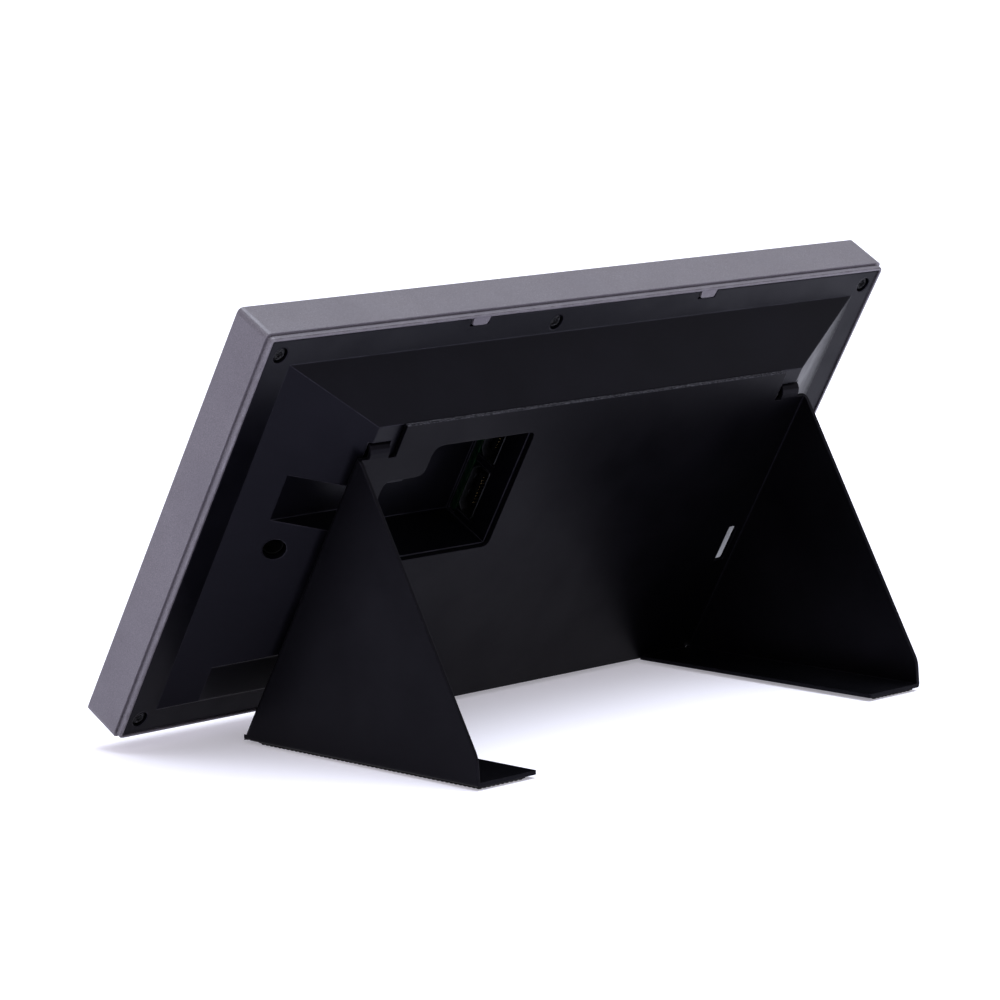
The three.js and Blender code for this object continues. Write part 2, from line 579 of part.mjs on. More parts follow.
for (const [name, at] of Object.entries(BOARD_HOLES)) place(display, name, boardScrew(at), BARE_STEEL);

place(stand, 'stand_bracket', standBracket(), BLACK_STEEL);
place(stand, 'foot_pad_left', footPad(1), RUBBER);
place(stand, 'foot_pad_right', footPad(-1), RUBBER);

const photoFrame = new THREE.Group();
photoFrame.add(display, stand);

export default photoFrame;
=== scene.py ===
# A digital photo frame on a folded sheet-metal stand, seen from behind.
#
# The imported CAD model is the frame. Large sheet and moulded nodes stay and get procedural finishes.
# Screws, foot pads, connectors and the power jack are rebuilt in finer mesh and stand for their nodes.
# Left and right are as seen from behind, so left is +X. Lengths are in millimetres, apart from those
# of the camera, the lights and the floor, which are in metres.

import json
import math

import bmesh
import bpy
from mathutils import Matrix, Vector


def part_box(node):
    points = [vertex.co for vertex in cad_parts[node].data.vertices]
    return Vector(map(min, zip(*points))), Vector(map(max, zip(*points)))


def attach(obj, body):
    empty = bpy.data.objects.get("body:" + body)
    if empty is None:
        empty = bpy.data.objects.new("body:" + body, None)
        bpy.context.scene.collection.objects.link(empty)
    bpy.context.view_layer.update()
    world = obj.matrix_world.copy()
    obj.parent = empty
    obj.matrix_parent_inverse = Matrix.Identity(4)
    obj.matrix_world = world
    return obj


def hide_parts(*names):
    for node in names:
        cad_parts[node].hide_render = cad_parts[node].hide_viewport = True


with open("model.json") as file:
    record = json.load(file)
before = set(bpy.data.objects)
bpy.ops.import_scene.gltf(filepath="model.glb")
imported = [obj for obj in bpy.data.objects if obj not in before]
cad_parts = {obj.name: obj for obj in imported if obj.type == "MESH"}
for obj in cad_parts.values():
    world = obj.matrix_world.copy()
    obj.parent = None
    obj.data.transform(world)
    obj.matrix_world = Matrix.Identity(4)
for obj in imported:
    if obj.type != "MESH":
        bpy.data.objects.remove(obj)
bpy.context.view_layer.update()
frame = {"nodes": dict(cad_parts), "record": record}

MM = 0.001
LEAN = math.radians(30)                     # how far the screen leans back
DISPLAY_PLACE = Vector((0, -53.2, 9.65))    # the display's bottom front edge
LEANING = Matrix.Translation(DISPLAY_PLACE) @ Matrix.Rotation(-LEAN, 4, "X")
UP_DISPLAY = LEANING.to_3x3() @ Vector((0, 0, 1))   # the direction up along the leaning display

# ---------------------------------------------------------------- camera

CAMERA_PLACE = (0.75778, 0.73930, 0.21432)
CAMERA_TURN = (81.4028, 0.7044, 134.9119)
CAMERA_LENS = 152.38


def make_camera():
    data = bpy.data.cameras.new("camera")
    data.lens = CAMERA_LENS
    data.sensor_width = 36
    data.clip_start = 0.05
    data.clip_end = 50
    camera = bpy.data.objects.new("camera", data)
    camera.location = CAMERA_PLACE
    camera.rotation_euler = [math.radians(angle) for angle in CAMERA_TURN]
    bpy.context.collection.objects.link(camera)
    bpy.context.scene.camera = camera


# ---------------------------------------------------------------- materials

BEVEL_SAMPLES = 6
EDGE_STARTS, EDGE_FULL = 0.999, 0.86    # cosines between the flat and the rounded normal
COLOR_A, COLOR_B, COLOR_OUT = 6, 7, 2   # the Mix node's colour sockets, whose names aren't unique


class Graph:
    """The node graph of one material, built up from its Principled shader."""

    def __init__(self, name, color, roughness, metallic=0.0, specular=0.5):
        self.material = bpy.data.materials.new(name)
        self.material.use_nodes = True
        self.tree = self.material.node_tree
        self.shader = self.tree.nodes["Principled BSDF"]
        self.base = color
        self.set("Base Color", (*color, 1))
        self.set("Roughness", roughness)
        self.set("Metallic", metallic)
        self.set("Specular IOR Level", specular)
        self.place = self.add("ShaderNodeTexCoord").outputs["Object"]
        self.color = None
        self.normal = None

    def set(self, socket, value):
        self.shader.inputs[socket].default_value = value

    def add(self, kind, **settings):
        node = self.tree.nodes.new(kind)
        for key, value in settings.items():
            setattr(node, key, value)
        return node

    def join(self, source, target):
        self.tree.links.new(source, target)

    def distance(self, along, middle_mm, start_mm):
        """How far a point is from middle_mm, either way, measured along a direction from start_mm."""
        along = Vector(along)
        dot = self.add("ShaderNodeVectorMath", operation="DOT_PRODUCT")
        self.join(self.place, dot.inputs[0])
        dot.inputs[1].default_value = along
        offset = self.add("ShaderNodeMath", operation="SUBTRACT")
        self.join(dot.outputs["Value"], offset.inputs[0])
        offset.inputs[1].default_value = (along.dot(Vector(start_mm)) + middle_mm) * MM
        size = self.add("ShaderNodeMath", operation="ABSOLUTE")
        self.join(offset.outputs["Value"], size.inputs[0])
        return size.outputs["Value"]

    def noise(self, size_mm, detail=2.0, stretch=(1, 1, 1)):
        """Noise whose spots are about size_mm across."""
        mapping = self.add("ShaderNodeMapping")
        mapping.inputs["Scale"].default_value = stretch
        self.join(self.place, mapping.inputs["Vector"])
        noise = self.add("ShaderNodeTexNoise")
        noise.inputs["Scale"].default_value = 1 / (size_mm * MM)
        noise.inputs["Detail"].default_value = detail
        self.join(mapping.outputs["Vector"], noise.inputs["Vector"])
        return noise.outputs["Fac"]

    def spread(self, source, low_in, high_in, low_out, high_out):
        """Maps one range of values onto another."""
        node = self.add("ShaderNodeMapRange")
        ends = {"From Min": low_in, "From Max": high_in, "To Min": low_out, "To Max": high_out}
        for socket, value in ends.items():
            node.inputs[socket].default_value = value
        self.join(source, node.inputs["Value"])
        return node.outputs["Result"]

    def multiply(self, a, b):
        node = self.add("ShaderNodeMath", operation="MULTIPLY")
        self.join(a, node.inputs[0])
        self.join(b, node.inputs[1])
        return node.outputs["Value"]

    def tint(self, factor, color):
        """Mixes a colour over the base colour wherever factor is high."""
        mix = self.add("ShaderNodeMix", data_type="RGBA")
        mix.inputs[COLOR_A].default_value = (*self.base, 1)
        if self.color:
            self.join(self.color, mix.inputs[COLOR_A])
        mix.inputs[COLOR_B].default_value = (*color, 1)
        self.join(factor, mix.inputs["Factor"])
        self.color = mix.outputs[COLOR_OUT]
        self.join(self.color, self.shader.inputs["Base Color"])

    def round_edges(self, radius_mm):
        """Catches light along sharp edges as a small fillet would."""
        bevel = self.add("ShaderNodeBevel", samples=BEVEL_SAMPLES)
        bevel.inputs["Radius"].default_value = radius_mm * MM
        self.normal = bevel.outputs["Normal"]
        self.join(self.normal, self.shader.inputs["Normal"])

    def edge_mask(self, radius_mm):
        """Is 1 on sharp edges and 0 on faces."""
        bevel = self.add("ShaderNodeBevel", samples=BEVEL_SAMPLES)
        bevel.inputs["Radius"].default_value = radius_mm * MM
        flat = self.add("ShaderNodeNewGeometry")
        dot = self.add("ShaderNodeVectorMath", operation="DOT_PRODUCT")
        self.join(bevel.outputs["Normal"], dot.inputs[0])
        self.join(flat.outputs["True Normal"], dot.inputs[1])
        return self.spread(dot.outputs["Value"], EDGE_STARTS, EDGE_FULL, 0, 1)

    def bump(self, height, depth_mm):
        """Adds relief whose full height is depth_mm."""
        bump = self.add("ShaderNodeBump")
        bump.inputs["Distance"].default_value = depth_mm * MM
        bump.inputs["Strength"].default_value = 1
        self.join(height, bump.inputs["Height"])
        if self.normal:
            self.join(self.normal, bump.inputs["Normal"])
        self.normal = bump.outputs["Normal"]
        self.join(self.normal, self.shader.inputs["Normal"])

    def vary_roughness(self, size_mm, low, high, stretch=(1, 1, 1)):
        """Spreads the roughness between low and high in soft patches."""
        noise = self.noise(size_mm, 3.0, stretch)
        self.join(self.spread(noise, 0.3, 0.7, low, high), self.shader.inputs["Roughness"])

    def wear_and_edge_highlight(self, radius_mm, color, patch_mm, low=0.35, high=0.75, amount=1.0):
        """Lightens sharp edges in patches, partly as worn edges and partly as a painted highlight along them.
        """
        patches = self.spread(self.noise(patch_mm, 4.0), low, high, 0, amount)
        self.tint(self.multiply(self.edge_mask(radius_mm), patches), color)


def frame_paint():
    g = Graph("frame_paint", (0.096, 0.086, 0.103), 0.4, metallic=0.25, specular=0.45)
    speckle = g.noise(0.32, 3.0)
    g.tint(g.spread(speckle, 0.35, 0.62, 0, 1), (0.13, 0.117, 0.139))
    g.tint(g.spread(g.noise(0.22, 1.0), 0.62, 0.76, 0, 0.8), (0.27, 0.245, 0.285))
    g.tint(g.spread(g.noise(38, 3.0), 0.4, 0.65, 0, 0.35), (0.088, 0.079, 0.1))
    g.wear_and_edge_highlight(0.35, (0.26, 0.245, 0.28), 3, 0.35, 0.7, 0.7)
    g.vary_roughness(6, 0.34, 0.48)
    g.round_edges(0.35)
    g.bump(speckle, 0.018)
    return g.material


def cover_plastic():
    g = Graph("cover_plastic", (0.0008, 0.0008, 0.0014), 0.36, specular=0.1)
    g.set("Specular Tint", (0.76, 0.73, 1, 1))
    grain = g.noise(0.28, 2.0)
    g.tint(g.spread(g.noise(24, 4.0), 0.4, 0.7, 0, 1), (0.0014, 0.0013, 0.0023))
    g.tint(g.spread(g.noise(0.5, 2.0), 0.66, 0.78, 0, 0.6), (0.006, 0.006, 0.0075))
    # painted highlight: the cover's creases and hips are lightened so that they show a bright line
    g.wear_and_edge_highlight(0.32, (0.042, 0.04, 0.052), 7, 0.25, 0.6, 0.9)
    g.vary_roughness(9, 0.32, 0.44)
    g.round_edges(0.6)
    g.bump(grain, 0.010)
    return g.material


# where the painted highlight along the plate's shear-cut top edge begins and where it is full
TOP_HIGHLIGHT_FROM, TOP_HIGHLIGHT_FULL = 98.15, 98.35   # heights up the display, next to the top of the plate


def stand_steel():
    """Black painted sheet, with a painted highlight along the rough shear-cut top edge of the plate."""
    g = Graph("stand_steel", (0.0007, 0.00065, 0.001), 0.4, specular=0.062)
    g.set("Specular Tint", (0.75, 0.69, 1, 1))
    orange_peel = g.noise(1.1, 2.0)
    fine = g.noise(0.2, 2.0)
    g.tint(g.spread(g.noise(45, 3.0), 0.38, 0.68, 0, 1), (0.0021, 0.0020, 0.0026))
    g.tint(g.spread(g.noise(0.34, 2.0), 0.68, 0.8, 0, 0.5), (0.007, 0.0068, 0.008))
    g.wear_and_edge_highlight(0.4, (0.012, 0.0115, 0.015), 1.2, 0.3, 0.7, 0.7)
    height = g.distance(UP_DISPLAY, 0, DISPLAY_PLACE)
    # painted highlight: a thin noisy bright band along the top edge of the plate
    top_highlight = g.spread(height, TOP_HIGHLIGHT_FROM * MM, TOP_HIGHLIGHT_FULL * MM, 0, 1)
    g.tint(g.multiply(top_highlight, g.spread(g.noise(0.45, 4.0), 0.42, 0.66, 0, 1)), (0.065, 0.063, 0.074))
    g.vary_roughness(16, 0.34, 0.46)
    g.round_edges(0.3)
    g.bump(orange_peel, 0.006)
    g.bump(fine, 0.006)
    return g.material


def moulded_black(name, roughness=0.5, specular=0.4, grain_mm=0.25, shade=0.006):
    g = Graph(name, (shade, shade, shade * 1.1), roughness, specular=specular)
    g.tint(g.spread(g.noise(6, 3.0), 0.4, 0.7, 0, 1), (shade * 1.7, shade * 1.7, shade * 1.8))
    g.wear_and_edge_highlight(0.15, (shade * 5, shade * 5, shade * 5.3), 2, 0.35, 0.7, 0.8)
    g.vary_roughness(3, roughness - 0.06, roughness + 0.08)
    g.round_edges(0.15)
    g.bump(g.noise(grain_mm, 2.0), 0.012)
    return g.material


def rubber(name, color):
    g = Graph(name, color, 0.8, specular=0.25)
    dust = [channel * 2.2 + 0.004 for channel in color]
    g.tint(g.spread(g.noise(2.5, 5.0), 0.5, 0.75, 0, 0.7), dust)
    g.vary_roughness(1.5, 0.7, 0.9)
    g.round_edges(0.1)
    g.bump(g.noise(0.12, 3.0), 0.015)
    return g.material


def plated_metal(name, color, dark, roughness, stretch=(1, 1, 1)):
    g = Graph(name, color, roughness, metallic=1.0)
    brushed = g.noise(0.5, 3.0, stretch)
    g.tint(g.spread(brushed, 0.35, 0.7, 0, 0.6), dark)
    g.tint(g.spread(g.noise(7, 4.0), 0.5, 0.75, 0, 0.5), dark)
    g.vary_roughness(2.5, roughness - 0.08, roughness + 0.12, stretch)
    g.round_edges(0.12)
    g.bump(brushed, 0.006)
    return g.material


def black_screw():
    g = Graph("black_screw", (0.004, 0.004, 0.005), 0.36, specular=0.12)
    g.tint(g.spread(g.noise(0.6, 4.0), 0.45, 0.7, 0, 0.6), (0.0015, 0.0015, 0.002))
    # the lighter edges are partly wear and partly painted glints on the head's rim and recess edges
    g.wear_and_edge_highlight(0.1, (0.07, 0.07, 0.08), 0.6, 0.4, 0.75, 0.9)
    g.vary_roughness(0.8, 0.24, 0.42)
    g.round_edges(0.08)
    g.bump(g.noise(0.15, 2.0), 0.006)
    return g.material


PICTURE_HALF = {"across": 86, "up": 48.5}
PICTURE_MIDDLE = 59.45                  # height of its middle up the display
PICTURE_BLUR = 0.1                      # how softly the printed border ends


def within(g, half, along, middle, start):
    """Is 1 where the distance from the middle, along a direction from start, is less than half."""
    away = g.distance(along, middle, start)
    return g.spread(away, (half + PICTURE_BLUR) * MM, (half - PICTURE_BLUR) * MM, 0, 1)


def screen_glass():
    """Glass over a black printed border and a switched-off picture area, which is a little lighter."""
    g = Graph("screen_glass", (0.0022, 0.0022, 0.0026), 0.05)
    sideways = within(g, PICTURE_HALF["across"], (1, 0, 0), 0, (0, 0, 0))
    upright = within(g, PICTURE_HALF["up"], UP_DISPLAY, PICTURE_MIDDLE, DISPLAY_PLACE)
    g.tint(g.multiply(sideways, upright), (0.0085, 0.009, 0.0115))
    g.tint(g.spread(g.noise(34, 4.0), 0.55, 0.8, 0, 0.25), (0.013, 0.013, 0.015))
    g.vary_roughness(26, 0.035, 0.085)
    g.round_edges(0.25)
    return g.material


def screen_panel():
    g = Graph("screen_panel", (0.011, 0.012, 0.016), 0.24)
    g.tint(g.spread(g.noise(70, 2.0), 0.35, 0.7, 0, 1), (0.016, 0.017, 0.022))
    rows = g.add("ShaderNodeTexWave", wave_type="BANDS", bands_direction="X")
    rows.inputs["Scale"].default_value = 1 / (1.6 * MM)
    rows.inputs["Distortion"].default_value = 0
    g.join(g.place, rows.inputs["Vector"])
    g.tint(g.spread(rows.outputs["Fac"], 0.4, 1.0, 0, 0.25), (0.02, 0.02, 0.026))
    g.vary_roughness(12, 0.2, 0.3)
    g.bump(g.noise(0.15, 1.0), 0.003)
    return g.material


def clear_acrylic():
    g = Graph("clear_acrylic", (0.9, 0.94, 0.95), 0.12)
    g.set("Transmission Weight", 0.9)
    dots = g.add("ShaderNodeTexVoronoi", feature="F1")
    dots.inputs["Scale"].default_value = 1 / (1.2 * MM)
    dots.inputs["Randomness"].default_value = 0.1
    g.join(g.place, dots.inputs["Vector"])
    g.tint(g.spread(dots.outputs["Distance"], 0.3, 0.2, 0, 0.8), (1, 1, 1))
    g.vary_roughness(4, 0.08, 0.2)
    g.bump(dots.outputs["Distance"], 0.02)
    return g.material


def led_tape():
    g = Graph("led_tape", (0.85, 0.84, 0.78), 0.45)
    lamps = g.add("ShaderNodeTexWave", wave_type="BANDS", bands_direction="X")
    lamps.inputs["Scale"].default_value = 1 / (18 * MM)
    g.join(g.place, lamps.inputs["Vector"])
    g.tint(g.spread(lamps.outputs["Fac"], 0.72, 0.8, 0, 1), (0.85, 0.66, 0.1))
    g.vary_roughness(2, 0.35, 0.55)
    g.bump(lamps.outputs["Fac"], 0.1)
    return g.material


def flex_film():
    g = Graph("flex_film", (0.42, 0.17, 0.03), 0.28)
    tracks = g.add("ShaderNodeTexWave", wave_type="BANDS", bands_direction="X")
    tracks.inputs["Scale"].default_value = 1 / (2.4 * MM)
    tracks.inputs["Distortion"].default_value = 0
    g.join(g.place, tracks.inputs["Vector"])
    g.tint(g.spread(tracks.outputs["Fac"], 0.45, 0.6, 0, 0.8), (0.55, 0.27, 0.07))
    g.vary_roughness(5, 0.22, 0.36)
    g.bump(tracks.outputs["Fac"], 0.02)
    return g.material


def board_green():
    # the board's greens are darkened well below its own colour, as painted shade of the pocket
    g = Graph("board_green", (0.0006, 0.0055, 0.0024), 0.4, specular=0.05)
    tracks = g.add("ShaderNodeTexBrick")
    tracks.inputs["Scale"].default_value = 1 / (6 * MM)
    tracks.inputs["Mortar Size"].default_value = 0.06
    g.join(g.place, tracks.inputs["Vector"])
    g.tint(g.spread(tracks.outputs["Fac"], 0.3, 0.8, 0, 0.85), (0.001, 0.0105, 0.0042))
    g.tint(g.spread(g.noise(0.5, 3.0), 0.6, 0.75, 0, 0.35), (0.004, 0.015, 0.007))
    g.wear_and_edge_highlight(0.4, (0.03, 0.05, 0.024), 1.5, 0.3, 0.7, 0.8)
    g.vary_roughness(4, 0.24, 0.4)
    g.round_edges(0.12)
    g.bump(tracks.outputs["Fac"], 0.03)
    return g.material


def shaded_contact_gold():
    # the gold is darkened as painted shade of the pocket that the contacts sit in
    g = Graph("shaded_contact_gold", (0.42, 0.31, 0.15), 0.25, metallic=1.0)
    g.tint(g.spread(g.noise(0.8, 3.0), 0.45, 0.7, 0, 0.5), (0.26, 0.18, 0.08))
    g.vary_roughness(1, 0.2, 0.36)
    g.bump(g.noise(0.3, 2.0), 0.004)
    return g.material


STEEL = (0.58, 0.585, 0.6)
DARK_STEEL = (0.36, 0.36, 0.375)
FINISHES = {
    "frame_paint": frame_paint(),
    "screen_glass": screen_glass(),
    "gasket_foam": rubber("gasket_foam", (0.008, 0.008, 0.008)),
    "black_plastic": moulded_black("black_plastic"),
    "screen_panel": screen_panel(),
    "clear_acrylic": clear_acrylic(),
    "led_tape": led_tape(),
    "tray_steel": plated_metal("tray_steel", STEEL, DARK_STEEL, 0.34, (1, 14, 14)),
    "flex_film": flex_film(),
    "board_green": board_green(),
    "chip_black": moulded_black("chip_black", 0.55, 0.4, 0.12),
    # the socket plastic is darker than the other black plastics, as painted shade inside the jack's hole and
    # the connectors
    "socket_plastic": moulded_black("socket_plastic", 0.6, 0.03, 0.3, 0.001),
    # the port steel is darkened to near black as painted shade inside the cover's pocket; the jack's pin uses
    # it too
    "port_steel": plated_metal("port_steel", (0.06, 0.061, 0.067), (0.03, 0.03, 0.033), 0.4, (1, 8, 8)),
    "lead_sleeve": rubber("lead_sleeve", (0.01, 0.01, 0.01)),
    "cover_plastic": cover_plastic(),
    "stand_steel": stand_steel(),
    "pad_rubber": rubber("pad_rubber", (0.004, 0.004, 0.004)),
    "black_screw": black_screw(),
    "bright_screw": plated_metal("bright_screw", STEEL, DARK_STEEL, 0.26),
}
SHADED_GOLD = shaded_contact_gold()


def dress_nodes():
    """Gives every CAD node the finish that its record entry names."""
    for entry in frame["record"]["subparts"]:
        node = frame["nodes"][entry["node"]]
        node.data.materials.clear()
        node.data.materials.append(FINISHES[entry["material_slot"]])


# ---------------------------------------------------------------- mesh helpers


def new_piece(name, mesh, slot, body, node, place=None):
    """Makes an object from mesh, in millimetres, and lets it stand for the CAD node."""
    scale = Matrix.Scale(MM, 4)
    mesh.transform(scale @ place if place else scale)
    data = bpy.data.meshes.new(name)
    bmesh.ops.recalc_face_normals(mesh, faces=mesh.faces)
    mesh.to_mesh(data)
    mesh.free()
    piece = bpy.data.objects.new(name, data)
    bpy.context.collection.objects.link(piece)
    data.materials.append(FINISHES[slot])
    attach(piece, body)
    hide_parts(node)
    return piece


def shade_smooth(mesh, angle=math.radians(38)):
    """Smooth faces, with the edges that turn by more than angle kept sharp."""
    for face in mesh.faces:
        face.smooth = True
    for edge in mesh.edges:
        if len(edge.link_faces) == 2 and edge.calc_face_angle() > angle:
            edge.smooth = False


def add_block(mesh, xs, ys, zs, bevel=0.0, segments=2):
    """A box, its edges rounded by bevel."""
    made = bmesh.ops.create_cube(mesh, size=1)["verts"]
    centre = Vector(((xs[0] + xs[1]) / 2, (ys[0] + ys[1]) / 2, (zs[0] + zs[1]) / 2))
    size = Vector((xs[1] - xs[0], ys[1] - ys[0], zs[1] - zs[0]))
    for vert in made:
        vert.co = Vector(a * b for a, b in zip(vert.co, size)) + centre
    if bevel:
        edges = list({edge for vert in made for edge in vert.link_edges})
        bmesh.ops.bevel(mesh, geom=edges, offset=bevel, segments=segments, affect="EDGES", profile=0.5)


def skin_rings(mesh, rings, sides):
    """Joins each ring of vertices to the next. A ring of one vertex closes to a point."""
    for low, high in zip(rings, rings[1:]):
        for i in range(sides):
            j = (i + 1) % sides
            corners = [low[i % len(low)], low[j % len(low)], high[j % len(high)], high[i % len(high)]]
            mesh.faces.new(list(dict.fromkeys(corners)))


def add_turned(mesh, outline, centre, sides):
    """Turns an outline of (radius, y) points round a line along y. Ends on the line where radius is 0."""
    rings = []
    for radius, y in outline:
        if radius == 0:
            rings.append([mesh.verts.new((centre[0], y, centre[1]))])
            continue
        angles = [2 * math.pi * i / sides for i in range(sides)]
        rings.append([mesh.verts.new((centre[0] + radius * math.cos(a), y, centre[1] + radius * math.sin(a)))
                      for a in angles])
    skin_rings(mesh, rings, sides)


# ---------------------------------------------------------------- screws

SCREW_SIDES = 48
HEAD_RINGS = 22
HEAD_RIM = 0.55                         # height of the head's rim, as a share of its middle
RECESS_WIDTH = 0.25                     # half the width of a recess arm, as a share of the head
RECESS_REACH = 0.78                     # how far an arm reaches, as a share of the head
RECESS_DEPTH = 0.95                     # as a share of the head's height
THREAD_PITCH = 0.55
THREAD_ROOT = 0.8                       # as a share of the shank's radius
SAME_Y, SAME_RADIUS = 1e-6, 1e-5        # how closely a vertex has to match
COVER_SCREW = {"front": 11.3, "radius": 1.75, "height": 0.8, "shank": 1.15, "end": 4.6, "slot": "black_screw"}
BOARD_SCREW = {"front": 12.9, "radius": 2.3, "height": 1.2, "shank": 0.95, "end": 9.2, "slot": "bright_screw"}

# How far each screw was turned, in degrees.
SPIN = {"cover_screw_top_left": 20, "cover_screw_top_middle": 38, "cover_screw_top_right": 5,
        "cover_screw_bottom_left": 32, "cover_screw_bottom_middle": 12, "cover_screw_bottom_right": 50,
        "board_screw_lower_left": 15, "board_screw_lower_right": 41, "board_screw_upper_left": 27,
        "board_screw_upper_right": 8}


def soft_step(value, low, high):
    """Rises smoothly from 0 at low to 1 at high."""
    share = min(max((value - low) / (high - low), 0), 1)
    return share * share * (3 - 2 * share)


def recess_depth(x, z):
    """Depth of a cross recess at a point of a head of radius 1: 1 in the cross, 0 outside."""
    narrow, far = sorted((abs(x), abs(z)))
    wall = 1 - soft_step(narrow, RECESS_WIDTH * 0.75, RECESS_WIDTH * 1.15)
    end = 1 - soft_step(far, RECESS_REACH * 0.72, RECESS_REACH)
    middle = 1 - soft_step(math.hypot(x, z), RECESS_WIDTH * 1.6, RECESS_WIDTH * 2.2)
    return max(wall * end, middle)


def add_screw_head(mesh, centre, front, radius, height, spin):
    """A domed pan head with a cross recess, facing +y. Returns the ring of vertices under its rim."""
    recess = height * RECESS_DEPTH
    rows = []
    for ring in range(HEAD_RINGS + 1):
        share = ring / HEAD_RINGS
        row = []
        for i in range(SCREW_SIDES):
            angle = 2 * math.pi * i / SCREW_SIDES
            x, z = share * math.cos(angle), share * math.sin(angle)
            dome = height * (HEAD_RIM + (1 - HEAD_RIM) * math.sqrt(max(1 - share ** 3, 0)))
            turned = (x * math.cos(spin) + z * math.sin(spin), z * math.cos(spin) - x * math.sin(spin))
            y = front + dome - recess * recess_depth(*turned)
            row.append(mesh.verts.new((centre[0] + x * radius, y, centre[1] + z * radius)))
            if ring == 0:
                break
        rows.append(row)
    rows.append([mesh.verts.new((v.co.x, front, v.co.z)) for v in rows[-1]])
    skin_rings(mesh, rows, SCREW_SIDES)
    return rows[-1]


def shank_outline(front, radius, end):
    """A stack of thread ridges with a pointed tip, as (radius, y) points."""
    root = radius * THREAD_ROOT
    outline = [(root, front)]
    y = front - THREAD_PITCH
    while y > end + 2 * THREAD_PITCH:
        outline += [(root, y + THREAD_PITCH * 0.3), (radius, y),
                    (radius, y - THREAD_PITCH * 0.12), (root, y - THREAD_PITCH * 0.4)]
        y -= THREAD_PITCH
    return outline + [(radius * 0.7, end + THREAD_PITCH), (0, end)]


def add_shank(mesh, rim, centre, front, radius, end):
    """A threaded shank below the head, joined to the ring under the head's rim."""
    add_turned(mesh, shank_outline(front, radius, end), centre, SCREW_SIDES)
    root = radius * THREAD_ROOT
    loop = [v for v in mesh.verts if abs(v.co.y - front) < SAME_Y
            and abs(math.hypot(v.co.x - centre[0], v.co.z - centre[1]) - root) < SAME_RADIUS]
    loop.sort(key=lambda v: math.atan2(v.co.z - centre[1], v.co.x - centre[0]) % (2 * math.pi))
    for i in range(SCREW_SIDES):
        j = (i + 1) % SCREW_SIDES
        mesh.faces.new([rim[i], rim[j], loop[j], loop[i]])


def make_screw(name, x, z, front, radius, height, shank, end, slot):
    mesh = bmesh.new()
    rim = add_screw_head(mesh, (x, z), front, radius, height, math.radians(SPIN[name]))
    add_shank(mesh, rim, (x, z), front, shank, end)
    shade_smooth(mesh, math.radians(50))
    new_piece(name + "_fine", mesh, slot, "display", name, LEANING)


COVER_SCREWS = {
    "cover_screw_top_left": (104.4, 113.1),
    "cover_screw_top_middle": (12.6, 113.1),
    "cover_screw_top_right": (-104.4, 113.1),
    "cover_screw_bottom_left": (104.4, 5.6),
    "cover_screw_bottom_middle": (12.6, 5.6),
    "cover_screw_bottom_right": (-104.4, 5.6),
}
BOARD_SCREWS = {
    "board_screw_lower_left": (18, 51.5),
    "board_screw_lower_right": (-48, 51.5),
    "board_screw_upper_left": (18, 93.5),
    "board_screw_upper_right": (-48, 93.5),
}


def make_screws():
    for name, (x, z) in COVER_SCREWS.items():
        make_screw(name, x, z, **COVER_SCREW)
    for name, (x, z) in BOARD_SCREWS.items():
        make_screw(name, x, z, **BOARD_SCREW)


# ---------------------------------------------------------------- foot pads

STUD_PITCH = 1.5
STUD_FOOT = 0.62                        # half width where a stud meets the pad
STUD_TIP = 0.4
STUD_CLIP = 0.55                        # how much of a half width its clipped corners leave straight
STUD_NECK = {"half": 0.96, "height": 0.45}  # where a stud starts to taper, as shares
PAD_BACKING = 0.38                      # height where the studs begin
PAD_OVERLAP = 0.02                      # how far the backing dips over the studs
PAD_BEVEL = 0.12


def add_stud(mesh, x, y):
    """A small four-sided stud with clipped corners, pointing down."""
    rings = []
    neck = (STUD_FOOT * STUD_NECK["half"], PAD_BACKING * STUD_NECK["height"])
    for half, z in ((STUD_FOOT, PAD_BACKING), neck, (STUD_TIP, 0.0)):
        clip = half * STUD_CLIP
        spots = [(half, clip), (clip, half), (-clip, half), (-half, clip),
                 (-half, -clip), (-clip, -half), (clip, -half), (half, -clip)]
        rings.append([mesh.verts.new((x + a, y + b, z)) for a, b in spots])
    skin_rings(mesh, rings, len(rings[0]))
    mesh.faces.new(rings[-1])
    mesh.faces.new(reversed(rings[0]))


def make_pad(node):
    """A thin rubber backing with rows of studs below it, filling the CAD pad's box."""
    low, high = (Vector(corner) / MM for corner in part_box(node))
    mesh = bmesh.new()
    add_block(mesh, (low.x, high.x), (low.y, high.y), (PAD_BACKING - PAD_OVERLAP, high.z), PAD_BEVEL)
    across = int((high.x - low.x) / STUD_PITCH)
    along = int((high.y - low.y) / STUD_PITCH)
    start_x = (low.x + high.x - (across - 1) * STUD_PITCH) / 2
    start_y = (low.y + high.y - (along - 1) * STUD_PITCH) / 2
    for i in range(across):
        for j in range(along):
            add_stud(mesh, start_x + i * STUD_PITCH, start_y + j * STUD_PITCH)
    new_piece(node + "_studded", mesh, "pad_rubber", "stand", node)


# ---------------------------------------------------------------- connectors

PORTS = {"hdmi_port_lower": 58.5, "hdmi_port_upper": 75.2}   # where each starts, up the display
PORT_BACK_X, PORT_MOUTH_X = 10.4, 21.9
PORT_FRONT_Y, PORT_HEIGHT, PORT_WIDTH = 13.1, 5.8, 14.2
PORT_KEY = 1.6                          # the slope that clips two of its corners
PORT_CORNER, PORT_LEAST_CORNER = 0.5, 0.15
PORT_SHEET = 0.35
PORT_EDGE = 0.08                        # rounding of the sheet's mouth edge
PORT_INSIDE_BACK = 3                    # from the back of the port to the back of its inside
CORNER_STEPS = 4

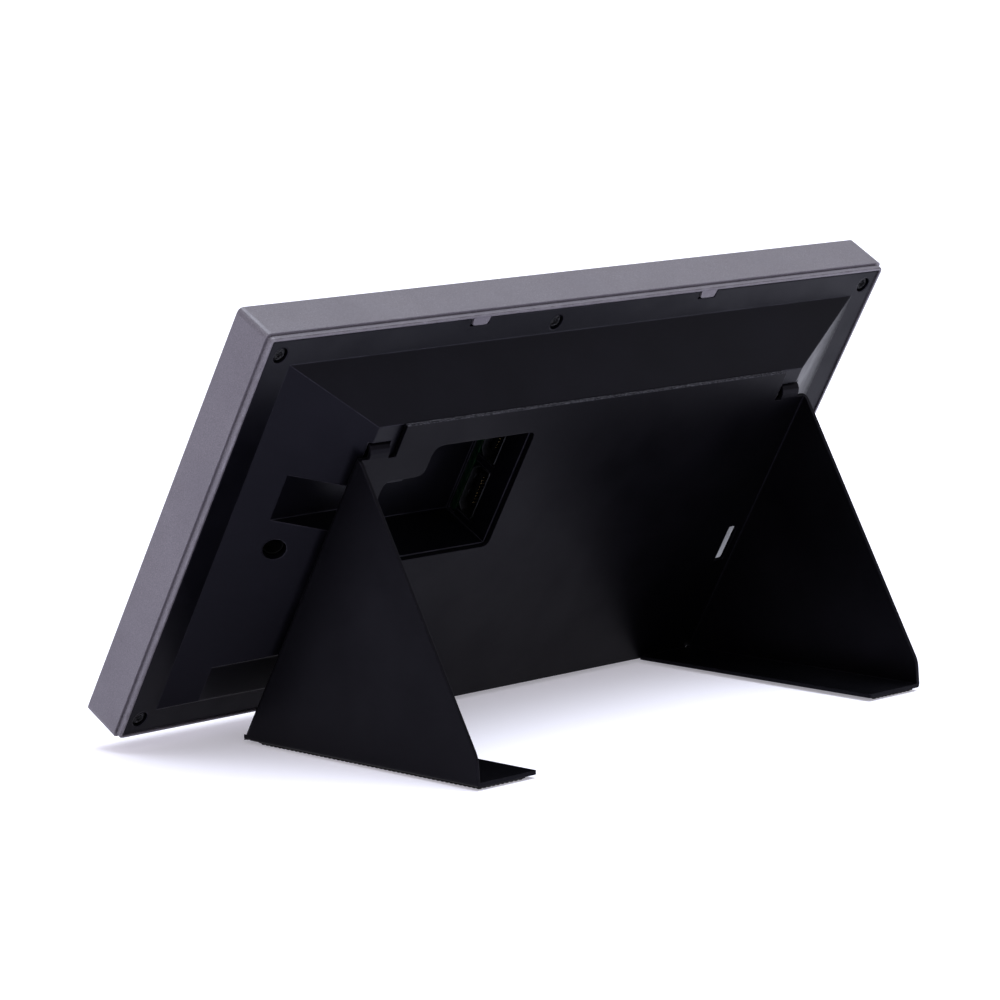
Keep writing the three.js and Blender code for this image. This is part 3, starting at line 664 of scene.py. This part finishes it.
FINGER_PLACES = (0.32, 0.68)            # middles of the spring fingers, as shares of the width
FINGER_HALF_WIDTH = 0.9
FINGER_LIFT = (0.1, 0.35)               # distances of a finger's two faces from the shell
FINGER_FROM_MOUTH = (6.5, 1.4)
FINGER_BEVEL = 0.1

TONGUE_FROM_FRONT, TONGUE_THICK = 1.9, 1.2
TONGUE_ENDS = 1                         # in from the shell's back and its mouth
TONGUE_SIDES = 2.2                      # in from the shell's two sides
TONGUE_BEVEL = 0.15

CONTACT_PITCH = 0.95
CONTACT_HALF_WIDTH = 0.2
CONTACT_ROWS = ((9, (1.15, 1.28)), (10, (-0.08, 0.05)))    # how many, and depths from the tongue's front
CONTACT_FROM_BACK, CONTACT_FROM_MOUTH = 3.2, 1.5
CONTACT_BEVEL = 0.04


def port_outline(z0, inset):
    """The keyed outline of a receptacle in y and z, inset, with rounded corners."""
    low_y, top_y = PORT_FRONT_Y + inset, PORT_FRONT_Y + PORT_HEIGHT - inset
    low_z, top_z = z0 + inset, z0 + PORT_WIDTH - inset
    key = PORT_KEY - inset * 0.4
    points = [(low_y, low_z + key), (low_y + key, low_z), (top_y, low_z),
              (top_y, top_z), (low_y + key, top_z), (low_y, top_z - key)]
    rounded = []
    for i, point in enumerate(points):
        here = Vector(point)
        before = Vector(points[i - 1]) - here
        after = Vector(points[(i + 1) % len(points)]) - here
        reach = max(PORT_CORNER - inset * 0.5, PORT_LEAST_CORNER)
        for step in range(CORNER_STEPS + 1):
            share = step / CORNER_STEPS
            start = here + before.normalized() * reach
            end = here + after.normalized() * reach
            rounded.append((1 - share) ** 2 * start + 2 * share * (1 - share) * here + share ** 2 * end)
    return rounded


def add_tube(mesh, stations):
    """Skins outlines of equal length, each an (x, points) pair, and closes the two ends."""
    rings = [[mesh.verts.new((x, p[0], p[1])) for p in points] for x, points in stations]
    skin_rings(mesh, rings, len(rings[0]))
    mesh.faces.new(reversed(rings[0]))
    mesh.faces.new(rings[-1])


def add_fingers(mesh, z0):
    """Four spring fingers inside the shell, two on its back and two on its front."""
    top = PORT_FRONT_Y + PORT_HEIGHT - PORT_SHEET
    bottom = PORT_FRONT_Y + PORT_SHEET
    near, far = FINGER_LIFT
    xs = [PORT_MOUTH_X - reach for reach in FINGER_FROM_MOUTH]
    for share in FINGER_PLACES:
        middle = z0 + PORT_WIDTH * share
        zs = (middle - FINGER_HALF_WIDTH, middle + FINGER_HALF_WIDTH)
        for ys in ((top - far, top - near), (bottom + near, bottom + far)):
            add_block(mesh, xs, ys, zs, FINGER_BEVEL)


def make_port_shell(node, z0):
    """The receptacle's folded shell, with its spring fingers."""
    mesh = bmesh.new()
    back, mouth = PORT_BACK_X, PORT_MOUTH_X
    add_tube(mesh, [
        (back, port_outline(z0, 0.1)),
        (back + 0.1, port_outline(z0, 0)),
        (mouth - 0.1, port_outline(z0, 0)),
        (mouth, port_outline(z0, PORT_EDGE)),
        (mouth, port_outline(z0, PORT_SHEET - PORT_EDGE)),
        (mouth - 0.25, port_outline(z0, PORT_SHEET)),
        (back + PORT_INSIDE_BACK, port_outline(z0, PORT_SHEET)),
    ])
    add_fingers(mesh, z0)
    shade_smooth(mesh)
    new_piece(node + "_shell", mesh, "port_steel", "display", node, LEANING)


def make_port_tongue(node, z0):
    tongue = bmesh.new()
    y0 = PORT_FRONT_Y + TONGUE_FROM_FRONT
    add_block(tongue, (PORT_BACK_X + TONGUE_ENDS, PORT_MOUTH_X - TONGUE_ENDS), (y0, y0 + TONGUE_THICK),
              (z0 + TONGUE_SIDES, z0 + PORT_WIDTH - TONGUE_SIDES), TONGUE_BEVEL)
    shade_smooth(tongue)
    new_piece(node + "_tongue", tongue, "socket_plastic", "display", node, LEANING)


def make_port_contacts(node, z0):
    """Two rows of gold contacts, one on each side of the tongue."""
    contacts = bmesh.new()
    y0 = PORT_FRONT_Y + TONGUE_FROM_FRONT
    middle = z0 + PORT_WIDTH / 2
    xs = (PORT_BACK_X + CONTACT_FROM_BACK, PORT_MOUTH_X - CONTACT_FROM_MOUTH)
    for count, faces in CONTACT_ROWS:
        ys = [y0 + face for face in faces]
        for i in range(count):
            z = middle + (i - (count - 1) / 2) * CONTACT_PITCH
            add_block(contacts, xs, ys, (z - CONTACT_HALF_WIDTH, z + CONTACT_HALF_WIDTH), CONTACT_BEVEL, 1)
    shade_smooth(contacts)
    piece = new_piece(node + "_contacts", contacts, "port_steel", "display", node, LEANING)
    piece.data.materials[0] = SHADED_GOLD


def make_port(node, z0):
    make_port_shell(node, z0)
    make_port_tongue(node, z0)
    make_port_contacts(node, z0)


# ---------------------------------------------------------------- power jack

RIM_BACK, PLATEAU_BACK = 12.5, 25.2     # the cover's rim and the top of its raised middle
FACET_FOOT_X, FACET_TOP_X = 100.2, 76.6
FACET_TURN = math.atan2(PLATEAU_BACK - RIM_BACK, FACET_FOOT_X - FACET_TOP_X)
JACK_PLACE = Vector((88.4, 18.8, 59.4))     # the middle of the hole in the cover's left facet
JACK_TURN = LEANING @ Matrix.Translation(JACK_PLACE) @ Matrix.Rotation(-FACET_TURN, 4, "Z")

# Outlines of (radius, y), where y is 0 on the facet and grows outwards.
JACK_BARREL = [
    (2.65, -2.9), (2.65, -1.95), (2.58, -1.83), (2.48, -1.8), (2.38, -1.83), (2.28, -1.95),
    (2.25, -2.2), (2.25, -7.2), (0.9, -7.4)]
JACK_PIN = [(0.8, -7.9), (0.8, -4.9), (0.74, -4.68), (0.58, -4.54), (0.3, -4.5), (0, -4.5)]
JACK_BODY_HALF, JACK_BODY_BEVEL = 3.7, 0.3
JACK_BODY_BACK, JACK_BODY_FRONT = -8.4, -2.5
LARGE_FACE = 20                         # smaller than the body's front face, larger than the others there


def make_jack_barrel():
    """The jack's body and round nose. The body's front face is left out, so that the bore is open."""
    barrel = bmesh.new()
    add_turned(barrel, JACK_BARREL, (0, 0), 48)
    shade_smooth(barrel)
    width = (-JACK_BODY_HALF, JACK_BODY_HALF)
    add_block(barrel, width, (JACK_BODY_BACK, JACK_BODY_FRONT), width, JACK_BODY_BEVEL)
    front = [face for face in barrel.faces if abs(face.calc_center_median().y - JACK_BODY_FRONT) < 1e-4
             and face.normal.y > 0.9 and face.calc_area() > LARGE_FACE]
    bmesh.ops.delete(barrel, geom=front, context="FACES_ONLY")
    new_piece("power_jack_barrel", barrel, "socket_plastic", "display", "power_jack", JACK_TURN)


def make_jack_pin():
    pin = bmesh.new()
    add_turned(pin, JACK_PIN, (0, 0), 24)
    shade_smooth(pin, math.radians(60))
    new_piece("power_jack_pin", pin, "port_steel", "display", "power_jack", JACK_TURN)


# ---------------------------------------------------------------- studio

FLOOR_COLOR = (0.82, 0.80, 0.88)
FLOOR_GLOW = 0.35                       # lifts the contact shadows, as a lit table does
FLOOR_HALF = 15
WORLD = {"color": (0.97, 0.96, 1), "strength": 0.75}
SKY = {"from": (-0.2, 0.12, 1.5), "strength": 2.9, "spread": math.radians(55), "color": (0.85, 0.94, 1)}
SIDE = {"from": (1.5, 0.9, 0.9), "watts": 4, "size": 0.9, "color": (1, 0.92, 0.92)}


def add_light(data, place, color):
    """Hangs a light at place, aimed at the middle of the floor."""
    data.color = color
    light = bpy.data.objects.new(data.name, data)
    light.location = place
    light.rotation_euler = (-Vector(place)).to_track_quat("-Z", "Y").to_euler()
    bpy.context.collection.objects.link(light)


def add_lights():
    """A wide soft sky over everything, and a softbox behind the object on its left."""
    sky = bpy.data.lights.new("sky", "SUN")
    sky.energy = SKY["strength"]
    sky.angle = SKY["spread"]
    add_light(sky, SKY["from"], SKY["color"])
    side = bpy.data.lights.new("side", "AREA")
    side.energy = SIDE["watts"]
    side.size = SIDE["size"]
    add_light(side, SIDE["from"], SIDE["color"])


def make_floor():
    mesh = bpy.data.meshes.new("floor")
    half = FLOOR_HALF
    corners = [(-half, -half, 0), (half, -half, 0), (half, half, 0), (-half, half, 0)]
    mesh.from_pydata(corners, [], [(0, 1, 2, 3)])
    floor = bpy.data.objects.new("floor", mesh)
    bpy.context.collection.objects.link(floor)
    g = Graph("floor", FLOOR_COLOR, 0.75, specular=0.1)
    g.set("Emission Color", (*FLOOR_COLOR, 1))
    g.set("Emission Strength", FLOOR_GLOW)
    mesh.materials.append(g.material)


def make_studio():
    make_floor()
    world = bpy.data.worlds.new("world")
    bpy.context.scene.world = world
    world.use_nodes = True
    background = world.node_tree.nodes["Background"]
    background.inputs["Color"].default_value = (*WORLD["color"], 1)
    background.inputs["Strength"].default_value = WORLD["strength"]
    add_lights()


make_camera()
dress_nodes()
make_screws()
for pad in ("foot_pad_left", "foot_pad_right"):
    make_pad(pad)
for port, z in PORTS.items():
    make_port(port, z)
make_jack_barrel()
make_jack_pin()
make_studio()

bpy.context.scene.view_settings.view_transform = "Standard"
bpy.context.view_layer.update()
